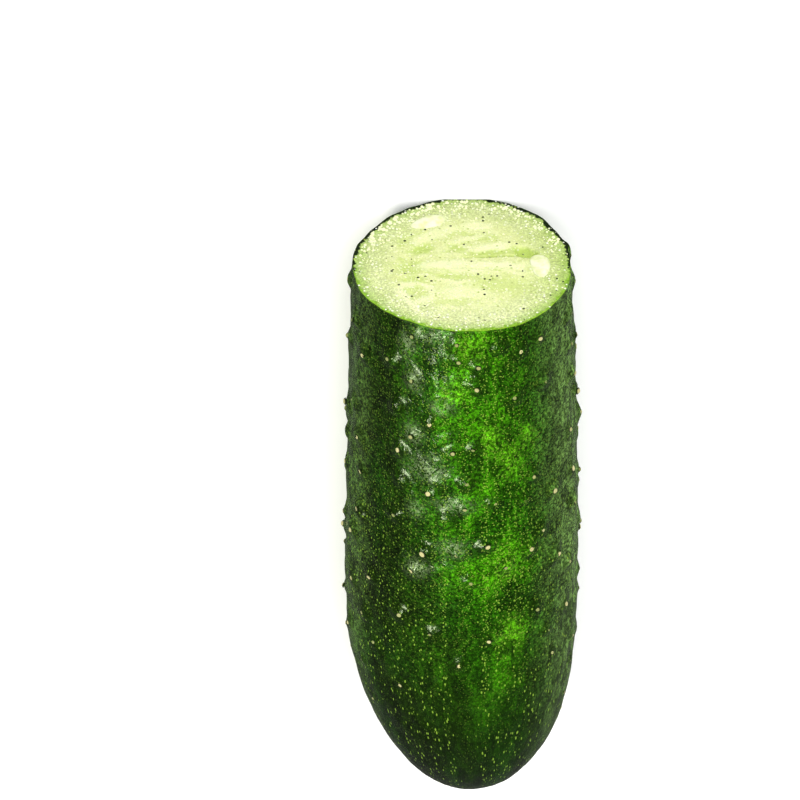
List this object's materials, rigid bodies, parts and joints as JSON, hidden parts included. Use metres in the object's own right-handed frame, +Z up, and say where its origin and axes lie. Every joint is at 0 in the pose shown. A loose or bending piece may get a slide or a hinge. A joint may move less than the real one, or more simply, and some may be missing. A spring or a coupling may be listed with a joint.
{
  "type": "cut cucumber half",
  "caption": "Half of a warty green ridge cucumber, cut straight across and lying on its side, with a rounded blossom end.",
  "frame": {"origin": "on the surface the half lies on, under the middle of its box", "axes": "+Y along the fruit from the cut face to the blossom end, +Z up, +X to the side"},
  "size_m": [0.046, 0.129, 0.0455],
  "materials": {
    "skin": "dark green cucumber skin with a waxy sheen, paler speckles and low warts, and wet pale green flesh on the cut face",
    "seed": "wet, soft, cream-white seed",
    "spine_tip": "dry cream to tan stub of a spine, and corky blossom scar",
    "juice": "clear drop of juice on the cut face"
  },
  "bodies": {
    "root": {"cucumber_half": "skin"}
  },
  "joints": []
}
